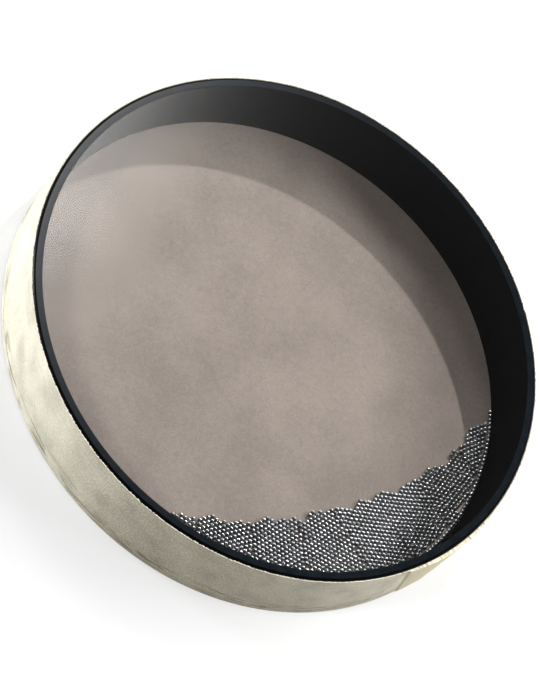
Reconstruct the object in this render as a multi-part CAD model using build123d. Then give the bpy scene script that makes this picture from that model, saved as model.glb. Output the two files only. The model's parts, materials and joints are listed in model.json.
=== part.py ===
from build123d import *
import math
import os

# Ocean drum, 16 inches across and 2 1/2 inches deep. It lies flat on its rear hoop.
# Origin at the middle of the face it rests on, +Z towards the clear front head. Millimetres.
# A laminated fibre shell carries two film heads that are bent over its edges and bonded down
# its outside. A low hoop under the rear head keeps that head off the table, a strip of fibre
# cloth covers the side, and loose steel balls roll between the heads.

# Driving sizes
head_diameter = 406.4
drum_depth = 63.5
shell_wall = 6.6
hoop_height = 5.0

# Heads: film, its bend over the shell's edge, and its collar down the outside
front_film = 0.30
rear_film = 0.35
edge_bevel = 2.0
collar_depth = 10.0
bond_line = 0.1
hoop_foot_bevel = 1.0

# Side cover: a strip of cloth, its end lapped over its start
cover_cloth = 0.8
cover_front_setback = 0.5
cover_rear_setback = 0.8
lap_length = 30.0
lap_taper = 3.0
lap_start_angle = -69.0

# Steel balls: one layer that has run down to one side of the drum
ball_diameter = 3.57
ball_play = 0.03
ball_clearance = 0.3
bank_depth = 62.0
bank_angle = -75.0
bank_right_sweep = 66.0
bank_left_sweep = 71.0
bank_fullness = 0.85

# The real drum holds about 1,450 balls. Every other ball of every other row of the close
# packing is made, each at its true size.
row_spacing_share = math.sqrt(3)
ball_spacing_share = 2
ring_height_share = 0.4

# Sizes that follow
head_radius = head_diameter / 2
shell_base = hoop_height + rear_film
shell_top = drum_depth - front_film
cavity_radius = head_radius - front_film - bond_line - shell_wall
ball_radius = ball_diameter / 2
ball_pitch = ball_diameter + ball_play


def turned(points):
    """Solid of revolution about the drum's axis, from an outline of (radius, height)."""
    outline = Polyline(*[(radius, 0, height) for radius, height in points], close=True)
    return revolve(make_face(outline), Axis.Z)


def bend_inset(thickness):
    """How much sooner than the outer face of a 45 degree bend a parallel inner face turns."""
    return thickness * math.tan(math.radians(45 / 2))


def shell():
    """Fibre hoop: flat end faces, with the outer edges bevelled for the films."""
    front_outer = head_radius - front_film - bond_line
    rear_outer = head_radius - rear_film - bond_line
    front_bevel = edge_bevel - front_film + bend_inset(front_film) + bond_line
    rear_bevel = edge_bevel - rear_film + bend_inset(rear_film) + bond_line
    middle = (shell_base + shell_top) / 2
    return turned([
        (cavity_radius, shell_base),
        (rear_outer - rear_bevel, shell_base),
        (rear_outer, shell_base + rear_bevel),
        (rear_outer, middle),
        (front_outer, middle),
        (front_outer, shell_top - front_bevel),
        (front_outer - front_bevel, shell_top),
        (cavity_radius, shell_top),
    ])


def head(film, face, towards_shell):
    """Film disc bent over the shell's edge. face is its outer face's height, and
    towards_shell is -1 on the front head, whose collar runs down, and 1 on the rear one."""
    inner_turn = bend_inset(film)
    inner_face = face + towards_shell * film
    bend_end = face + towards_shell * edge_bevel
    collar_end = bend_end + towards_shell * collar_depth
    return turned([
        (0, face),
        (head_radius - edge_bevel, face),
        (head_radius, bend_end),
        (head_radius, collar_end),
        (head_radius - film, collar_end),
        (head_radius - film, bend_end + towards_shell * inner_turn),
        (head_radius - edge_bevel - inner_turn, inner_face),
        (0, inner_face),
    ])


def rear_hoop():
    """Low ring under the rear head, in line with the shell, its foot bevelled outside."""
    shoulder = edge_bevel / 2
    return turned([
        (cavity_radius, 0),
        (head_radius - hoop_foot_bevel, 0),
        (head_radius, hoop_foot_bevel),
        (head_radius, hoop_height - shoulder),
        (head_radius - edge_bevel, hoop_height),
        (cavity_radius, hoop_height),
    ])


def side_cover():
    """Cloth strip round both collars and the hoop, with a second layer where it laps."""
    inner = head_radius + bond_line
    outer = inner + cover_cloth
    bottom = cover_rear_setback
    top = drum_depth - cover_front_setback
    strip = turned([(inner, bottom), (outer, bottom), (outer, top), (inner, top)])

    lap_sweep = math.degrees(lap_length / outer)
    taper_sweep = math.degrees(lap_taper / outer)
    lap_end = lap_start_angle + lap_sweep

    def at(radius, angle):
        turn = math.radians(angle)
        return (radius * math.cos(turn), radius * math.sin(turn))

    def arc(radius, start, end):
        return ThreePointArc(at(radius, start), at(radius, (start + end) / 2), at(radius, end))

    inside = (inner + outer) / 2
    proud = outer + cover_cloth
    edges = [
        arc(inside, lap_start_angle, lap_end),
        Line(at(inside, lap_end), at(outer, lap_end)),
        Line(at(outer, lap_end), at(proud, lap_end - taper_sweep)),
        arc(proud, lap_start_angle, lap_end - taper_sweep),
        Line(at(proud, lap_start_angle), at(inside, lap_start_angle)),
    ]
    lap = extrude(Pos(0, 0, bottom) * make_face(edges), top - bottom)
    return strip + lap


def ball():
    """Faceted ball: two poles and two rings of four corners, all on the true ball's surface."""
    top = (0, 0, ball_radius)
    bottom = (0, 0, -ball_radius)
    ring_height = ball_radius * ring_height_share
    ring_radius = math.sqrt(ball_radius**2 - ring_height**2)
    upper = []
    lower = []
    for quarter in range(4):
        turn = math.radians(90 * quarter)
        half_turn = turn + math.radians(45)
        upper.append((ring_radius * math.cos(turn), ring_radius * math.sin(turn), ring_height))
        lower.append((ring_radius * math.cos(half_turn), ring_radius * math.sin(half_turn), -ring_height))
    faces = []
    for quarter in range(4):
        after = (quarter + 1) % 4
        for corners in (
            (top, upper[quarter], upper[after]),
            (upper[quarter], lower[quarter], upper[after]),
            (lower[quarter], lower[after], upper[after]),
            (bottom, lower[after], lower[quarter]),
        ):
            faces.append(Face(Wire.make_polygon(corners)))
    return Solid(Shell(faces))


def row_angles(row):
    """Angles of the balls in one row, counted inwards from the wall. The bank is deepest at
    bank_angle and thins to nothing at the end of each sweep."""
    depth = row * row_spacing_share * ball_pitch
    if depth >= bank_depth:
        return []
    reach_share = math.degrees(math.acos((depth / bank_depth) ** (1 / bank_fullness))) / 90
    step = math.degrees(ball_spacing_share * ball_pitch / row_radius(row))
    stagger = step / 2 if row % 2 else 0
    first = -math.floor((bank_left_sweep * reach_share + stagger) / step)
    last = math.floor((bank_right_sweep * reach_share - stagger) / step)
    return [bank_angle + stagger + count * step for count in range(first, last + 1)]


def row_radius(row):
    """Radius of a row's ball centres: the first row runs round the shell's inner wall."""
    wall_row = cavity_radius - ball_clearance - ball_radius
    return wall_row - row * row_spacing_share * ball_pitch


def shot_row(row, one_ball):
    """The balls of one row, each a separate solid, lying on the rear head."""
    height = shell_base + ball_clearance + ball_radius
    radius = row_radius(row)
    balls = []
    for angle in row_angles(row):
        turn = math.radians(angle)
        balls.append(Pos(radius * math.cos(turn), radius * math.sin(turn), height) * one_ball)
    return Compound(children=balls)


def build():
    nodes = {
        "shell": shell(),
        "front_head": head(front_film, drum_depth, -1),
        "rear_head": head(rear_film, hoop_height, 1),
        "rear_hoop": rear_hoop(),
        "side_cover": side_cover(),
    }
    one_ball = ball()
    row = 0
    while row_angles(row):
        nodes[f"shot_row_{row + 1:02d}"] = shot_row(row, one_ball)
        row += 1
    return nodes


os.makedirs("parts", exist_ok=True)
for name, shape in build().items():
    export_step(shape, f"parts/{name}.step")
    print(name, len(shape.solids()), round(shape.volume, 1))
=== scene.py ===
import json
import math

import bpy
import numpy as np
from mathutils import Matrix, Vector


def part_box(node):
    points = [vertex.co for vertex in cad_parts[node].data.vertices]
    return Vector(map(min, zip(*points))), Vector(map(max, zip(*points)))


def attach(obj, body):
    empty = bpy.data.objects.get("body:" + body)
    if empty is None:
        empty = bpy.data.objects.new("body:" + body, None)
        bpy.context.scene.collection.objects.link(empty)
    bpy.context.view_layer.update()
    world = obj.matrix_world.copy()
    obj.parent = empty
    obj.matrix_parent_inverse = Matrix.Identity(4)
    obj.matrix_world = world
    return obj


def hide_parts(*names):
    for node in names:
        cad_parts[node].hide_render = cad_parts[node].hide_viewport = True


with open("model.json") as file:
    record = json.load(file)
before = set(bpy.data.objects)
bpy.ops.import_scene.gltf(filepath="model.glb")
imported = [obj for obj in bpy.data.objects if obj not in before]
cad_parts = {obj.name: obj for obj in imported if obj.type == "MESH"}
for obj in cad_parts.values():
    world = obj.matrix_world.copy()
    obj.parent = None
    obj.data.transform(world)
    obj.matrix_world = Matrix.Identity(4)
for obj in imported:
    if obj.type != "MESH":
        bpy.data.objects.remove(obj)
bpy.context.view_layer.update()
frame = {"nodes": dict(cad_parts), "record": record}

# Ocean drum. The shell, rear hoop and rear head are the CAD's own meshes and get their
# finishes here. The clear head, the cloth cover and the full charge of steel balls are
# made here and replace their plain CAD nodes.

bl_info = {
    "name": "Ocean drum",
    "version": (1, 0, 0),
    "blender": (4, 5, 0),
    "location": "View3D > Sidebar > Ocean drum",
    "description": "Dresses a film-headed frame drum with loose steel shot inside",
    "category": "Object",
}

MM = 0.001

# How finely the pieces made here are meshed
HEAD_STEPS = 256
BEND_STEPS = 8
COVER_STEPS = 2160
COVER_LEVELS = 36
BALL_DETAIL = 2

# Seeds of the two random draws
COVER_SEED = 16
SHOT_SEED = 9

BODIES = frame["record"]["behaviour"]["bodies"]

HEAD_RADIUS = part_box("front_head")[1][0]
FRONT_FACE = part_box("front_head")[1][2]
FRONT_COLLAR_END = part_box("front_head")[0][2]
REAR_FILM_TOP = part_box("shell")[0][2]
COVER_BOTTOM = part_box("side_cover")[0][2]
COVER_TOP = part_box("side_cover")[1][2]


def linear(hex_colour):
    """Linear colour from an sRGB hex value."""
    parts = [int(hex_colour[i:i + 2], 16) / 255 for i in (1, 3, 5)]
    return tuple(p / 12.92 if p <= 0.04045 else ((p + 0.055) / 1.055) ** 2.4 for p in parts)


def length(name, description, millimetres):
    return bpy.props.FloatProperty(
        name=name, description=description, default=millimetres * MM, unit="LENGTH")


def angle(name, description, degrees):
    return bpy.props.FloatProperty(
        name=name, description=description, default=math.radians(degrees), unit="ROTATION")


def colour(name, description, hex_colour):
    return bpy.props.FloatVectorProperty(
        name=name, description=description, subtype="COLOR", size=3,
        default=linear(hex_colour), min=0, max=1)


class OceanDrumSizes(bpy.types.PropertyGroup):
    """Sizes of the pieces that are made here."""
    film: length("Film", "Thickness of the clear head", 0.3)
    film_seat: length("Film seat", "Gap that keeps the clear head's underside off the shell", 0.05)
    film_bend: length("Film bend", "Radius of the clear head's bend over the shell", 2.0)
    cloth: length("Cloth", "Thickness of the side cover", 0.8)
    bond_line: length("Bond line", "Glue between the cloth and the collar under it", 0.1)
    fray: length("Fray", "How far the cloth's cut edge wanders", 0.75)
    wrinkle: length("Wrinkle", "Height of the folds pressed into the cloth by its rear edge", 0.6)
    lap: length("Lap", "How far the cloth's end lies over its start", 95.0)
    lap_lift: length("Lap lift", "How far the lap's middle stands off the cloth under it", 1.4)
    lap_slant: length("Lap slant", "How much further round the lap's cut end is at the rear", 22.0)
    ball: length("Ball", "Diameter of one steel ball", 3.57)
    ball_clearance: length("Ball clearance", "Gap between a ball and the wall or head", 0.3)
    wall: length("Wall", "Thickness of the shell", 6.6)
    bank: length("Bank", "Depth of the banked balls where they lie deepest", 62.0)
    bank_fullness: bpy.props.FloatProperty(
        name="Bank fullness", description="How full the bank's outline is; 1 is a cosine's",
        default=0.85, subtype="FACTOR")
    bank_left: angle("Bank left", "How far round the bank reaches clockwise, seen from the front", 71)
    bank_right: angle("Bank right", "How far round the bank reaches the other way", 66)
    bank_angle: angle("Bank angle", "Where round the drum the balls lie deepest", -75)
    lap_angle: angle("Lap angle", "Where round the drum the cloth's upper end is cut", -69)
    held_from: angle("Held from", "Where round the drum hands have begun to soil the cloth", -150)
    held_to: angle("Held to", "Where round the drum hands have ceased to soil it", -92)
    fold_first: length("First fold", "Height of the lowest fold above the cloth's rear edge", 1.5)
    fold_spacing: length("Fold spacing", "Height from one fold to the next", 1.7)
    fold_drift: length("Fold drift", "How far a fold wanders up and down", 0.9)
    fold_width: length("Fold width", "Half the width of a fold", 0.55)


class OceanDrumColours(bpy.types.PropertyGroup):
    """Colours of the finishes."""
    fibre: colour("Fibre", "Black shell and hoop", "#07090D")
    suede: colour("Suede film", "Rear head", "#ACA29B")
    cloth: colour("Fibre cloth", "Side cover", "#D4CEBB")
    # Also the colour of the painted shade line over the collar's end.
    cloth_dark: colour("Cloth mottle", "Darker fibres of the side cover", "#7A6F50")
    cloth_glued: colour("Glued cloth", "Side cover where its ends are glued together", "#C8C0A2")
    # Painted highlight: the cut edge is coloured whiter to stand for the light it catches.
    cloth_edge_highlight: colour("Cut cloth", "Bare fibres along the side cover's cut edge", "#D9D5C6")
    steel: colour("Steel", "Shot", "#A4A7AA")
    film: colour("Film", "What light the clear head lets through", "#F6F5F4")
    # Painted reflection: the shell's black end under the film, lightened and tinted navy for the studio
    # mirrored in the film.
    shell_under_film_and_reflection: colour("Film on the shell", "Front rim, where the film is bonded down", "#0D1217")
    adhesive: colour("Adhesive", "Behind the film where it bends down over the shell", "#050506")


def node(tree, kind, inputs=None, **settings):
    """Add a node, set its properties, and set or link its inputs."""
    made = tree.nodes.new(kind)
    for name, value in settings.items():
        setattr(made, name, value)
    for name, value in (inputs or {}).items():
        socket = made.inputs[name]
        if isinstance(value, bpy.types.NodeSocket):
            tree.links.new(value, socket)
        elif socket.type == "RGBA" and len(value) == 3:
            socket.default_value = (*value, 1)
        else:
            socket.default_value = value
    return made


def material(name):
    """An empty node material, its tree and its output."""
    made = bpy.data.materials.new(name)
    made.use_nodes = True
    made.node_tree.nodes.clear()
    return made, made.node_tree, made.node_tree.nodes.new("ShaderNodeOutputMaterial")


def ramp(tree, source, stops):
    """A colour ramp through (position, colour) stops."""
    made = node(tree, "ShaderNodeValToRGB", {"Fac": source})
    elements = made.color_ramp.elements
    for count, (position, tint) in enumerate(stops):
        element = elements[count] if count < 2 else elements.new(position)
        element.position = position
        element.color = (*tint, 1)
    return made.outputs["Color"]


def shade(tint, factor):
    return tuple(min(1.0, part * factor) for part in tint)


def noise(tree, place, size, detail, **more):
    """Fractal noise whose largest grains are about this size."""
    inputs = {"Vector": place, "Scale": 1 / size, "Detail": detail, **more}
    return node(tree, "ShaderNodeTexNoise", inputs).outputs["Fac"]


def spread(tree, value, low, high, to_low=0.0, to_high=1.0):
    """Move a value's range from low..high to to_low..to_high, and clamp it there."""
    return node(tree, "ShaderNodeMapRange", {
        "Value": value, "From Min": low, "From Max": high, "To Min": to_low, "To Max": to_high,
    }).outputs["Result"]


def combine(tree, operation, one, other):
    """The sum, product or other combination of two values."""
    return node(tree, "ShaderNodeMath", {0: one, 1: other}, operation=operation).outputs["Value"]


def tinted(tree, factor, below, above, how="MIX"):
    """Lay one colour over another."""
    return node(tree, "ShaderNodeMix", {0: factor, 6: below, 7: above},
                data_type="RGBA", blend_type=how).outputs[2]


def relief(tree, height, strength, distance):
    """Bump from a height."""
    return node(tree, "ShaderNodeBump", {
        "Height": height, "Strength": strength, "Distance": distance}).outputs["Normal"]


def finish_with(tree, out, kind, inputs):
    """End the material in one shader."""
    surface = node(tree, kind, inputs)
    tree.links.new(surface.outputs[0], out.inputs["Surface"])


def fibre_material(colours):
    """Resin-bonded laminated wood fibre, painted black: nearly matt, with a faint sheen that
    varies over the paint, and the fibre's fine relief."""
    made, tree, out = material("Painted laminated wood fibre")
    place = node(tree, "ShaderNodeTexCoord").outputs["Object"]
    mottle = noise(tree, place, 9 * MM, 4.0)
    grain = noise(tree, place, 0.8 * MM, 3.0)
    tint = ramp(tree, mottle, [(0.3, shade(colours.fibre, 0.75)), (0.7, shade(colours.fibre, 1.3))])
    bump = relief(tree, grain, 0.25, 0.08 * MM)
    paint = node(tree, "ShaderNodeBsdfDiffuse", {"Color": tint, "Normal": bump})
    sheen = node(tree, "ShaderNodeBsdfAnisotropic", {
        "Color": (1, 1, 1), "Roughness": spread(tree, mottle, 0.3, 0.7, 0.38, 0.5), "Normal": bump})
    finish_with(tree, out, "ShaderNodeMixShader", {
        0: 0.012, 1: paint.outputs["BSDF"], 2: sheen.outputs["BSDF"]})
    return made


def suede_material(colours):
    """Polyester film with a suede coating: matt, cloudy like hide, with fine fibres and nap."""
    made, tree, out = material("Suede-coated polyester film")
    place = node(tree, "ShaderNodeTexCoord").outputs["Object"]
    patches = noise(tree, place, 60 * MM, 5.0)
    fibres = noise(tree, place, 3.5 * MM, 6.0, Roughness=0.75, Distortion=1.2)
    nap = noise(tree, place, 0.9 * MM, 3.0)
    cloudy = ramp(tree, patches, [(0.35, shade(colours.suede, 0.9)), (0.65, shade(colours.suede, 1.08))])
    fibrous = ramp(tree, fibres, [(0.4, (0.85, 0.86, 0.87)), (0.6, (1.0, 1.0, 1.0))])
    napped = ramp(tree, nap, [(0.4, (0.88, 0.88, 0.88)), (0.6, (1.0, 1.0, 1.0))])
    tint = tinted(tree, 1.0, cloudy, fibrous, "MULTIPLY")
    finish_with(tree, out, "ShaderNodeBsdfPrincipled", {
        "Base Color": tinted(tree, 1.0, tint, napped, "MULTIPLY"), "Roughness": 0.7,
        "Specular IOR Level": 0.12, "Sheen Weight": 0.1, "Normal": relief(tree, nap, 0.3, 0.05 * MM)})
    return made


def clear_film_material(colours):
    """Clear polyester film: light passes straight through it, and it mirrors the studio
    softly, more at a glancing angle, with the slight milkiness of a handled head."""
    made, tree, out = material("Clear polyester film")
    clear = node(tree, "ShaderNodeBsdfTransparent", {"Color": tuple(colours.film)})
    gloss = node(tree, "ShaderNodeBsdfPrincipled", {
        "Base Color": tuple(colours.film), "Metallic": 1.0, "Roughness": 0.18})
    glance = node(tree, "ShaderNodeLayerWeight", {"Blend": 0.5}).outputs["Facing"]
    share = spread(tree, combine(tree, "POWER", glance, 5.0), 0.0, 1.0, 0.035, 0.7)
    finish_with(tree, out, "ShaderNodeMixShader", {
        0: share, 1: clear.outputs["BSDF"], 2: gloss.outputs["BSDF"]})
    return made


def bonded_film_material(name, tint, gloss):
    """Clear film bonded down, so that what is behind it shows as a gloss, a little cloudy
    where the adhesive is uneven."""
    made, tree, out = material(name)
    place = node(tree, "ShaderNodeTexCoord").outputs["Object"]
    cloudy = ramp(tree, noise(tree, place, 5 * MM, 3.0), [
        (0.35, shade(tint, 0.7)), (0.65, shade(tint, 1.3))])
    finish_with(tree, out, "ShaderNodeBsdfPrincipled", {
        "Base Color": cloudy, "Roughness": 0.3, "Specular IOR Level": gloss})
    return made


def uv_band(tree, place, axis, span, soft, wander=None):
    """1 between the two ends of span along one axis of the UV map, in metres, 0 outside it,
    with soft ends that a noise may move."""
    along = node(tree, "ShaderNodeSeparateXYZ", {"Vector": place}).outputs[axis]
    if wander:
        along = combine(tree, "ADD", along, spread(tree, wander, 0.3, 0.7, -soft, soft))
    rise = spread(tree, along, span[0] - soft, span[0] + soft)
    fall = spread(tree, along, span[1] - soft, span[1] + soft, 1.0, 0.0)
    return combine(tree, "MULTIPLY", rise, fall)


def cloth_material(colours, lap, held, rear, collar, edge):
    """Resin-bonded fibre cloth: cream, matt, mottled where the fibres lie thick, with the
    weave's fine speckle, most where hands have soiled it, yellower where the lap's glue
    soaks through, with painted shade in the creases by the rear edge, a painted shade line
    where the collar ends under it, and a painted highlight, whiter, along the cut edge. It
    has the piece's own UV map, in metres round and up the side, and each span is two ends on that map."""
    made, tree, out = material("Resin-bonded fibre cloth")
    place = node(tree, "ShaderNodeUVMap", uv_map="side").outputs["UV"]
    mottle = noise(tree, place, 24 * MM, 4.0, Roughness=0.5)
    clumps = noise(tree, place, 1.3 * MM, 4.0, Roughness=0.7)
    lay = node(tree, "ShaderNodeMapping", {
        "Vector": place, "Rotation": (0, 0, math.radians(52)), "Scale": (0.3, 1.0, 1.0)})
    strands = noise(tree, lay.outputs["Vector"], 0.9 * MM, 3.0, Roughness=0.6)
    drawn = node(tree, "ShaderNodeMapping", {"Vector": place, "Scale": (0.1, 1.0, 1.0)})
    creases = noise(tree, drawn.outputs["Vector"], 2.4 * MM, 4.0, Roughness=0.6)

    tint = ramp(tree, mottle, [
        (0.34, shade(colours.cloth, 0.82)), (0.5, tuple(colours.cloth)), (0.68, shade(colours.cloth, 1.12))])
    spots = ramp(tree, clumps, [(0.34, tuple(colours.cloth_dark)), (0.6, (1.0, 1.0, 1.0))])
    soiled = spread(tree, uv_band(tree, place, "X", held, 50 * MM), 0.0, 1.0, 0.2, 0.6)
    tint = tinted(tree, soiled, tint, spots, "MULTIPLY")
    lines = ramp(tree, strands, [(0.4, (0.76, 0.75, 0.71)), (0.58, (1.0, 1.0, 1.0))])
    tint = tinted(tree, 0.5, tint, lines, "MULTIPLY")
    # Painted shade in the creases: dark streaks over the band by the rear edge.
    crease_shade = ramp(tree, creases, [(0.4, (0.46, 0.42, 0.34)), (0.5, (1.0, 1.0, 1.0))])
    tint = tinted(tree, uv_band(tree, place, "Y", rear, 3 * MM), tint, crease_shade, "MULTIPLY")
    # Painted shade: a thin darker line where the collar's end under the cloth would make a step.
    collar_step_shade = combine(tree, "MULTIPLY", uv_band(tree, place, "Y", collar, 0.5 * MM, clumps), 0.3)
    tint = tinted(tree, collar_step_shade, tint, tuple(colours.cloth_dark))
    tint = tinted(tree, uv_band(tree, place, "X", lap, 3 * MM), tint, tuple(colours.cloth_glued))
    # Painted highlight: a whiter band along the cut top edge.
    cut = uv_band(tree, place, "Y", edge, 0.5 * MM, clumps)
    tint = tinted(tree, cut, tint, tuple(colours.cloth_edge_highlight))
    finish_with(tree, out, "ShaderNodeBsdfPrincipled", {
        "Base Color": tint, "Roughness": 0.68, "IOR": 1.5,
        "Normal": relief(tree, combine(tree, "ADD", clumps, strands), 0.5, 0.35 * MM)})
    return made


def steel_material(colours):
    """Hardened steel shot, tumbled bright and lightly oiled: a dark mirror with one sharp
    highlight to each ball."""
    made, tree, out = material("Tumbled bearing steel")
    place = node(tree, "ShaderNodeTexCoord").outputs["Object"]
    handling = noise(tree, place, 5 * MM, 2.0)
    finish_with(tree, out, "ShaderNodeBsdfPrincipled", {
        "Base Color": tuple(colours.steel), "Metallic": 1.0,
        "Roughness": spread(tree, handling, 0.3, 0.7, 0.3, 0.36)})
    return made


def dress(node_name, finish):
    """Give a CAD node this finish."""
    piece = frame["nodes"][node_name]
    piece.data.materials.clear()
    piece.data.materials.append(finish)


def add_piece(name, mesh, body):
    piece = bpy.data.objects.new(name, mesh)
    bpy.context.scene.collection.objects.link(piece)
    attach(piece, body)
    return piece


def lathe(name, profile, steps):
    """Closed mesh of revolution about Z from (radius, height) points that start and end on
    the axis, outer face first."""
    corners = [(0, 0, profile[0][1]), (0, 0, profile[-1][1])]
    rings = profile[1:-1]
    for radius, height in rings:
        for step in range(steps):
            turn = 2 * math.pi * step / steps
            corners.append((radius * math.cos(turn), radius * math.sin(turn), height))
    faces = []
    last = 2 + (len(rings) - 1) * steps
    for step in range(steps):
        after = (step + 1) % steps
        faces.append((0, 2 + step, 2 + after))
        faces.append((1, last + after, last + step))
        for ring in range(len(rings) - 1):
            here = 2 + ring * steps
            below = here + steps
            faces.append((here + step, below + step, below + after, here + after))
    mesh = bpy.data.meshes.new(name)
    mesh.from_pydata(corners, [], faces)
    mesh.shade_smooth()
    mesh.set_sharp_from_angle(angle=math.radians(35))
    return mesh


def shell_inside(sizes):
    """Radius of the shell's inner wall."""
    return HEAD_RADIUS - sizes.film - sizes.bond_line - sizes.wall


def side_waves():
    """Round the drum, the cloth's edges and folds: seeded waves that close on themselves."""
    chance = np.random.default_rng(COVER_SEED)

    def waves(low, high, count):
        turns = chance.integers(low, high, count)
        phases = chance.uniform(0, 2 * math.pi, count)
        weights = chance.uniform(0.4, 1, count)
        return lambda turn: float(np.sum(weights * np.sin(turns * turn + phases)) / np.sum(weights))

    return {
        "edge": waves(30, 620, 34),
        "drift": waves(2, 9, 4),
        "folds": [waves(5, 60, 12) for _ in range(6)],
        "rear": waves(15, 260, 18),
    }


class OCEANDRUM_OT_shell(bpy.types.Operator):
    """Paint the laminated fibre shell and the hoop under it"""
    bl_idname = "ocean_drum.shell"
    bl_label = "Shell and hoop"

    def execute(self, context):
        finish = fibre_material(context.scene.ocean_drum_colours)
        dress("shell", finish)
        dress("rear_hoop", finish)
        return {"FINISHED"}


class OCEANDRUM_OT_rear_head(bpy.types.Operator):
    """Give the rear head its suede coating"""
    bl_idname = "ocean_drum.rear_head"
    bl_label = "Rear head"

    def execute(self, context):
        dress("rear_head", suede_material(context.scene.ocean_drum_colours))
        return {"FINISHED"}


class OCEANDRUM_OT_front_head(bpy.types.Operator):
    """Make the clear head with its round bend over the shell's edge"""
    bl_idname = "ocean_drum.front_head"
    bl_label = "Front head"

    def execute(self, context):
        sizes = context.scene.ocean_drum_sizes
        bend, film = sizes.film_bend, sizes.film - sizes.film_seat
        centre = (HEAD_RADIUS - bend, FRONT_FACE - bend)

        def round_the_bend(radius):
            turns = [math.pi / 2 * step / BEND_STEPS for step in range(BEND_STEPS + 1)]
            return [(centre[0] + radius * math.sin(t), centre[1] + radius * math.cos(t)) for t in turns]

        outside = round_the_bend(bend)
        inside = round_the_bend(bend - film)
        on_shell = shell_inside(sizes)
        rings = [on_shell * share for share in (0.25, 0.5, 0.75, 1.0)]
        profile = [(0, FRONT_FACE)] + [(ring, FRONT_FACE) for ring in rings] + outside
        profile += [(HEAD_RADIUS, FRONT_COLLAR_END), (HEAD_RADIUS - film, FRONT_COLLAR_END)]
        profile += inside[::-1] + [(ring, FRONT_FACE - film) for ring in rings[::-1]]
        profile += [(0, FRONT_FACE - film)]
        mesh = lathe("clear_front_head", profile, HEAD_STEPS)
        colours = context.scene.ocean_drum_colours
        mesh.materials.append(clear_film_material(colours))
        # The front rim's colour is partly painted reflection: a navy tint over the black shell's end.
        mesh.materials.append(bonded_film_material(
            "Film bonded to the shell's end", tuple(colours.shell_under_film_and_reflection), 0.4))
        mesh.materials.append(bonded_film_material(
            "Film over black adhesive", tuple(colours.adhesive), 0.12))
        for face in mesh.polygons:
            radius = math.hypot(*face.center.xy)
            face.material_index = int(radius > on_shell) + int(radius > centre[0])
        piece = add_piece("clear_front_head", mesh, "drum")
        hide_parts("front_head")
        return {"FINISHED"}


# The last share of the lap, over which it comes down to a single layer
LAP_TAIL = 0.3


class OCEANDRUM_OT_side_cover(bpy.types.Operator):
    """Wrap the side in fibre cloth with a frayed front edge, folds by the rear and a lap"""
    bl_idname = "ocean_drum.side_cover"
    bl_label = "Side cover"

    def execute(self, context):
        sizes = context.scene.ocean_drum_sizes
        inner = HEAD_RADIUS + sizes.bond_line
        waves = side_waves()
        lap_sweep = sizes.lap / inner
        height = COVER_TOP - COVER_BOTTOM

        def lap_rise(turn):
            along = (turn - sizes.lap_angle) % (2 * math.pi)
            if along > lap_sweep:
                return 0.0
            share = along / lap_sweep
            lift = sizes.lap_lift * math.sin(math.pi * share)
            return (sizes.cloth + lift) * min(1.0, (1 - share) / LAP_TAIL)

        def fold(turn, share):
            up = share * height
            rise = 0.0
            for count, wave in enumerate(waves["folds"]):
                line = sizes.fold_first + count * sizes.fold_spacing
                line += sizes.fold_drift * waves["drift"](turn + count)
                rise += math.exp(-((up - line) / sizes.fold_width) ** 2) * max(0.0, wave(turn)) * 1.6
            return sizes.wrinkle * rise

        corners = []
        uvs = []
        for step in range(COVER_STEPS):
            turn = sizes.lap_angle + 2 * math.pi * (step + 0.5) / COVER_STEPS
            top = COVER_TOP + sizes.fray * (np.clip(3 * waves["edge"](turn), -1, 1) - 0.6)
            bottom = COVER_BOTTOM + 0.25 * MM * waves["rear"](turn) + 0.2 * MM
            ring = []
            for level in range(COVER_LEVELS + 1):
                share = (level / COVER_LEVELS) ** 1.5
                slant = sizes.lap_slant / inner * (1 - share)
                ring.append((inner + sizes.cloth + lap_rise(turn - slant) + fold(turn, share),
                             bottom + (top - bottom) * share))
            ring.append((inner + 0.25 * sizes.cloth, top))
            ring.append((inner, top - 0.3 * MM))
            ring.append((inner, bottom + 0.2 * MM))
            for radius, up in ring:
                corners.append((radius * math.cos(turn), radius * math.sin(turn), up))
                slant = sizes.lap_slant * (COVER_TOP - up) / height
                uvs.append((turn * inner - slant, up))
        per_ring = COVER_LEVELS + 4
        faces = []
        face_uvs = []
        for step in range(COVER_STEPS):
            after = (step + 1) % COVER_STEPS
            wrap = 2 * math.pi * inner if after == 0 else 0.0
            for level in range(per_ring):
                above = (level + 1) % per_ring
                face = (step * per_ring + level, after * per_ring + level,
                        after * per_ring + above, step * per_ring + above)
                faces.append(face)
                for count, corner in enumerate(face):
                    along, up = uvs[corner]
                    face_uvs.append((along + (wrap if count in (1, 2) else 0.0), up))
        mesh = bpy.data.meshes.new("cloth_side_cover")
        mesh.from_pydata(corners, [], faces)
        layer = mesh.uv_layers.new(name="side")
        layer.data.foreach_set("uv", np.array(face_uvs, dtype=np.float32).ravel())
        mesh.shade_smooth()
        mesh.set_sharp_from_angle(angle=math.radians(50))
        lap_start = sizes.lap_angle * inner
        mesh.materials.append(cloth_material(
            context.scene.ocean_drum_colours,
            lap=(lap_start, lap_start + sizes.lap),
            held=tuple(inner * (2 * math.pi + turn) for turn in (sizes.held_from, sizes.held_to)),
            rear=(COVER_BOTTOM + 1.5 * MM, COVER_BOTTOM + 12 * MM),
            collar=(FRONT_COLLAR_END - 0.3 * MM, FRONT_COLLAR_END + 0.3 * MM),
            edge=(COVER_TOP - 0.35 * MM, COVER_TOP + 2 * MM)))
        piece = add_piece("cloth_side_cover", mesh, "drum")
        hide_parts("side_cover")
        return {"FINISHED"}


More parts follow.
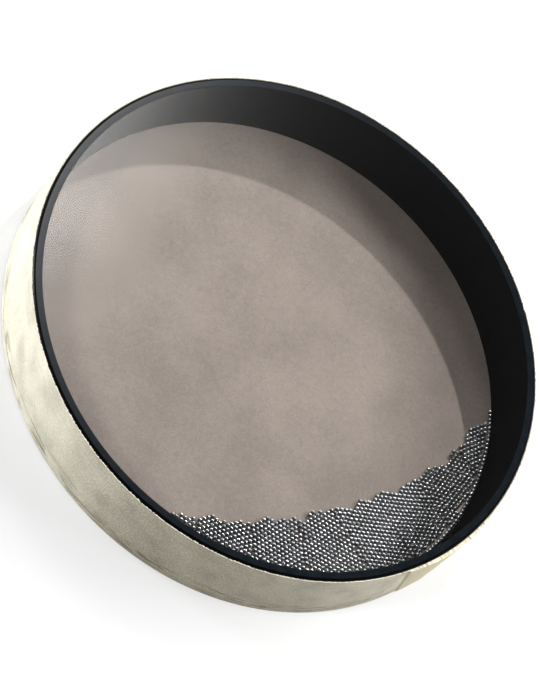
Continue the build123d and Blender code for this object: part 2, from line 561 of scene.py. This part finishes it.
def bank_depth(turn, sizes):
    """How far in from the wall the banked balls reach, round the drum."""
    from_middle = (turn - sizes.bank_angle + np.pi) % (2 * np.pi) - np.pi
    sweep = np.where(from_middle > 0, sizes.bank_right, sizes.bank_left)
    share = np.clip(np.abs(from_middle) / sweep, 0, 1)
    return np.where(share < 1, sizes.bank * np.cos(share * np.pi / 2) ** sizes.bank_fullness, 0)


SETTLE_ROUNDS = 24
SETTLE_STEPS = 12


def settle(places, wall, gap):
    """Push apart balls that overlap and back the ones that cross the wall, until they lie
    as loose shot does: close packed, in patches, with gaps where the patches meet."""
    for _ in range(SETTLE_ROUNDS):
        apart = places[:, None] - places[None]
        near = np.triu((apart**2).sum(2) < (1.6 * gap) ** 2, 1)
        one, other = np.nonzero(near)
        for _ in range(SETTLE_STEPS):
            offset = places[one] - places[other]
            distance = np.maximum(np.hypot(*offset.T), 0.01 * gap)
            move = offset * (0.4 * np.clip(gap - distance, 0, None) / distance)[:, None]
            np.add.at(places, one, move)
            np.add.at(places, other, -move)
            radius = np.hypot(*places.T)
            places *= np.minimum(1, wall / radius)[:, None]
    return places


def close_packed(centre, lean, pitch, reach):
    """Corners of a triangular grid round a centre."""
    count = int(reach / pitch) + 1
    rows, columns = np.mgrid[-count:count + 1, -count:count + 1].reshape(2, -1)
    along = pitch * (columns + 0.5 * (rows % 2))
    across = pitch * math.sqrt(3) / 2 * rows
    return np.stack([centre[0] + along * math.cos(lean) - across * math.sin(lean),
                     centre[1] + along * math.sin(lean) + across * math.cos(lean)], 1)


def shot_places(sizes):
    """Centres of all the balls, seen from above: one row along the wall, then patches of
    close packing that each lean their own way."""
    chance = np.random.default_rng(SHOT_SEED)
    gap = sizes.ball + 0.01 * MM
    wall = shell_inside(sizes) - sizes.ball_clearance - sizes.ball / 2
    pitch = gap * 1.004
    turns = np.arange(-math.pi, math.pi, pitch / wall)
    turns = turns[bank_depth(turns, sizes) > 0]
    places = [np.stack([wall * np.cos(turns), wall * np.sin(turns)], 1)]
    patches = 9
    middles = sizes.bank_angle + np.linspace(-1.05, 1.0, patches)
    radii = wall - bank_depth(middles, sizes) * chance.uniform(0.25, 0.75, patches)
    centres = np.stack([radii * np.cos(middles), radii * np.sin(middles)], 1)
    for patch in range(patches):
        grid = close_packed(centres[patch], middles[patch] + chance.uniform(0, math.pi / 3), pitch, 0.12)
        nearest = ((grid[:, None] - centres[None])**2).sum(2).argmin(1) == patch
        radius = np.hypot(*grid.T)
        turns = np.arctan2(grid[:, 1], grid[:, 0])
        waver = 1.5 * MM * np.sin(turns * 19 + 1) + 1.6 * MM * np.sin(turns * 41)
        depth = bank_depth(turns, sizes)
        inside = (depth > 0) & (wall - radius > 0.8 * gap) & (wall - radius < depth + waver)
        places.append(grid[nearest & inside])
    places = np.concatenate(places)
    kept = np.ones(len(places), bool)
    for count in range(1, len(places)):
        crowd = np.hypot(*(places[:count] - places[count]).T) < 0.6 * gap
        kept[count] = not (crowd & kept[:count]).any()
    places = places[kept]
    places += chance.normal(0, 0.03 * sizes.ball, places.shape)
    return settle(places, wall, gap), wall


def crest_of(places, inwards, crest_edge, gap):
    """The balls that roll across first: the innermost, less any with another ball ahead."""
    joint = next(j for j in frame["record"]["behaviour"]["joints"] if j["name"] == "shot_roll")
    away = np.array(joint["axis"][:2])
    along = places @ away
    across = places @ np.array([-away[1], away[0]])
    beside = np.abs(across[:, None] - across[None]) < 1.15 * gap
    ahead = beside & (along[None] > along[:, None])
    crest = inwards > crest_edge
    while (ahead & ~crest[None])[crest].any():
        crest &= ~(ahead & ~crest[None]).any(1)
    return crest


def ball_tree(finish):
    """Geometry nodes: a ball on each vertex, as one plain mesh."""
    tree = bpy.data.node_groups.new("Shot on points", "GeometryNodeTree")
    tree.interface.new_socket("Geometry", in_out="INPUT", socket_type="NodeSocketGeometry")
    radius = tree.interface.new_socket("Ball radius", in_out="INPUT", socket_type="NodeSocketFloat")
    detail = tree.interface.new_socket("Ball detail", in_out="INPUT", socket_type="NodeSocketInt")
    tree.interface.new_socket("Geometry", in_out="OUTPUT", socket_type="NodeSocketGeometry")
    given = node(tree, "NodeGroupInput")
    one = node(tree, "GeometryNodeMeshIcoSphere", {
        "Radius": given.outputs["Ball radius"], "Subdivisions": given.outputs["Ball detail"]})
    smooth = node(tree, "GeometryNodeSetShadeSmooth", {"Geometry": one.outputs["Mesh"]})
    many = node(tree, "GeometryNodeInstanceOnPoints", {
        "Points": given.outputs["Geometry"], "Instance": smooth.outputs["Geometry"]})
    real = node(tree, "GeometryNodeRealizeInstances", {"Geometry": many.outputs["Instances"]})
    painted = node(tree, "GeometryNodeSetMaterial", {
        "Geometry": real.outputs["Geometry"], "Material": finish})
    node(tree, "NodeGroupOutput", {"Geometry": painted.outputs["Geometry"]})
    return tree, radius.identifier, detail.identifier


class OCEANDRUM_OT_shot(bpy.types.Operator):
    """Fill the bank with the drum's full charge of steel balls, one mesh for each body"""
    bl_idname = "ocean_drum.shot"
    bl_label = "Steel shot"

    def execute(self, context):
        sizes = context.scene.ocean_drum_sizes
        places, wall = shot_places(sizes)
        height = REAR_FILM_TOP + sizes.ball_clearance + sizes.ball / 2
        inwards = wall - np.hypot(places[:, 0], places[:, 1])
        crest_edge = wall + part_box(BODIES["shot_crest"][0])[0][1]
        on_wall = inwards < 0.5 * sizes.ball
        on_crest = crest_of(places, inwards, crest_edge, sizes.ball)
        groups = {
            "shot_wall_row": on_wall, "shot_crest": on_crest, "shot_pool": ~on_wall & ~on_crest}
        tree, radius_id, detail_id = ball_tree(steel_material(context.scene.ocean_drum_colours))
        for body, chosen in groups.items():
            points = [(x, y, height) for x, y in places[chosen]]
            mesh = bpy.data.meshes.new(body)
            mesh.from_pydata(points, [], [])
            piece = bpy.data.objects.new(f"{body}_balls", mesh)
            context.scene.collection.objects.link(piece)
            modifier = piece.modifiers.new("Balls", "NODES")
            modifier.node_group = tree
            modifier[radius_id] = sizes.ball / 2
            modifier[detail_id] = BALL_DETAIL
            evaluated = piece.evaluated_get(context.evaluated_depsgraph_get())
            plain = bpy.data.meshes.new_from_object(evaluated)
            piece.modifiers.remove(modifier)
            piece.data = plain
            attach(piece, body)
            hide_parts(*BODIES[body])
        return {"FINISHED"}


# The photo's camera: its place in metres, its axes, and its lens on a 36 mm sensor
CAMERA_PLACE = (-0.93831, -0.93098, 1.84525)
CAMERA_RIGHT = Vector((0.90394524, -0.09483272, 0.41700092))
CAMERA_UP = Vector((-0.09483272, 0.90637378, 0.41169566))
CAMERA_LENS = 155.43


def lamp(name, place, target, power, size, tint=(1, 1, 1), mirrored=True, only=()):
    """A soft square lamp that faces its target. One that isn't mirrored lights matt surfaces
    and shows in no polished one, and one with pieces named in only lights those alone."""
    data = bpy.data.lights.new(name, "AREA")
    data.energy = power
    data.size = size
    data.color = tint
    made = bpy.data.objects.new(name, data)
    bpy.context.scene.collection.objects.link(made)
    made.location = place
    made.rotation_euler = (Vector(target) - Vector(place)).to_track_quat("-Z", "Y").to_euler()
    made.visible_glossy = mirrored
    made.visible_camera = False
    if only:
        lit = bpy.data.collections.new(f"Lit by {name}")
        for piece in only:
            lit.objects.link(bpy.data.objects[piece])
        made.light_linking.receiver_collection = lit


class OCEANDRUM_OT_stage(bpy.types.Operator):
    """Set the floor, the studio light and the camera"""
    bl_idname = "ocean_drum.stage"
    bl_label = "Stage"

    def execute(self, context):
        scene = context.scene
        reach = 3.0
        mesh = bpy.data.meshes.new("floor")
        mesh.from_pydata([(-reach, -reach, 0), (reach, -reach, 0), (reach, reach, 0), (-reach, reach, 0)],
                         [], [(0, 1, 2, 3)])
        floor = bpy.data.objects.new("floor", mesh)
        scene.collection.objects.link(floor)
        finish, tree, out = material("Pale studio floor")
        matt = node(tree, "ShaderNodeBsdfDiffuse", {"Color": linear("#A8A8A8")})
        glow = node(tree, "ShaderNodeEmission", {"Color": (1, 1, 1), "Strength": 0.55})
        lit = node(tree, "ShaderNodeAddShader", {0: matt.outputs["BSDF"], 1: glow.outputs["Emission"]})
        seen = node(tree, "ShaderNodeLightPath").outputs
        mirrored = combine(tree, "MAXIMUM", seen["Is Glossy Ray"], seen["Is Transmission Ray"])
        finish_with(tree, out, "ShaderNodeMixShader", {
            0: combine(tree, "MAXIMUM", seen["Is Camera Ray"], mirrored),
            1: matt.outputs["BSDF"], 2: lit.outputs["Shader"]})
        mesh.materials.append(finish)

        world = bpy.data.worlds.new("Studio")
        world.use_nodes = True
        tree = world.node_tree
        tree.nodes.clear()
        place = node(tree, "ShaderNodeTexCoord").outputs["Generated"]
        height = node(tree, "ShaderNodeSeparateXYZ", {"Vector": place}).outputs["Z"]
        sky = node(tree, "ShaderNodeBackground", {
            "Color": (1, 1, 1), "Strength": spread(tree, height, 0.12, 0.4, 0.65, 0.05)})
        node(tree, "ShaderNodeOutputWorld", {"Surface": sky.outputs["Background"]})
        scene.world = world

        middle = (0, 0, FRONT_FACE / 2)
        cool = linear("#F4F9FF")
        shot = [f"{body}_balls" for body in BODIES if body != "drum"]
        lamp("Right lamp", (1.53, -0.88, 0.97), middle, 11, 0.3, mirrored=False)
        lamp("Right panel", (1.62, 0.0, 1.21), middle, 44, 1.2, mirrored=False)
        lamp("Left high lamp", (-1.34, -0.36, 1.47), middle, 16, 0.3, mirrored=False)
        lamp("Key", (0.88, 1.21, 1.45), middle, 31, 0.05, mirrored=False)
        lamp("Overhead", (0.37, 1.2, 1.66), middle, 7, 0.5)
        lamp("Catch light", (-0.1, 1.7, 1.7), middle, 80, 0.3, only=shot)
        lamp("Right catch light", (1.52, 0.55, 1.19), middle, 75, 0.4, only=shot)
        lamp("Left low", (-1.73, 1.0, 0.2), middle, 50, 0.3, cool)

        data = bpy.data.cameras.new("Camera")
        data.sensor_width = 36
        data.lens = CAMERA_LENS
        camera = bpy.data.objects.new("Camera", data)
        scene.collection.objects.link(camera)
        back = CAMERA_RIGHT.cross(CAMERA_UP)
        turned = Matrix((CAMERA_RIGHT, CAMERA_UP, back)).transposed().to_4x4()
        camera.matrix_world = Matrix.Translation(CAMERA_PLACE) @ turned
        scene.camera = camera
        scene.view_settings.view_transform = "Standard"
        return {"FINISHED"}


class OCEANDRUM_PT_panel(bpy.types.Panel):
    """Lists the drum's pieces in the order that they are made"""
    bl_idname = "OCEANDRUM_PT_panel"
    bl_label = "Ocean drum"
    bl_space_type = "VIEW_3D"
    bl_region_type = "UI"
    bl_category = "Ocean drum"

    def draw(self, context):
        for step in STEPS:
            self.layout.operator(step.bl_idname)


STEPS = (
    OCEANDRUM_OT_shell,
    OCEANDRUM_OT_rear_head,
    OCEANDRUM_OT_front_head,
    OCEANDRUM_OT_side_cover,
    OCEANDRUM_OT_shot,
    OCEANDRUM_OT_stage,
)
CLASSES = (OceanDrumSizes, OceanDrumColours, *STEPS, OCEANDRUM_PT_panel)


def register():
    for cls in CLASSES:
        bpy.utils.register_class(cls)
    bpy.types.Scene.ocean_drum_sizes = bpy.props.PointerProperty(type=OceanDrumSizes)
    bpy.types.Scene.ocean_drum_colours = bpy.props.PointerProperty(type=OceanDrumColours)


def unregister():
    del bpy.types.Scene.ocean_drum_colours
    del bpy.types.Scene.ocean_drum_sizes
    for cls in reversed(CLASSES):
        bpy.utils.unregister_class(cls)


def main():
    register()
    for step in STEPS:
        group, name = step.bl_idname.split(".")
        getattr(getattr(bpy.ops, group), name)()


if __name__ == "__main__":
    main()
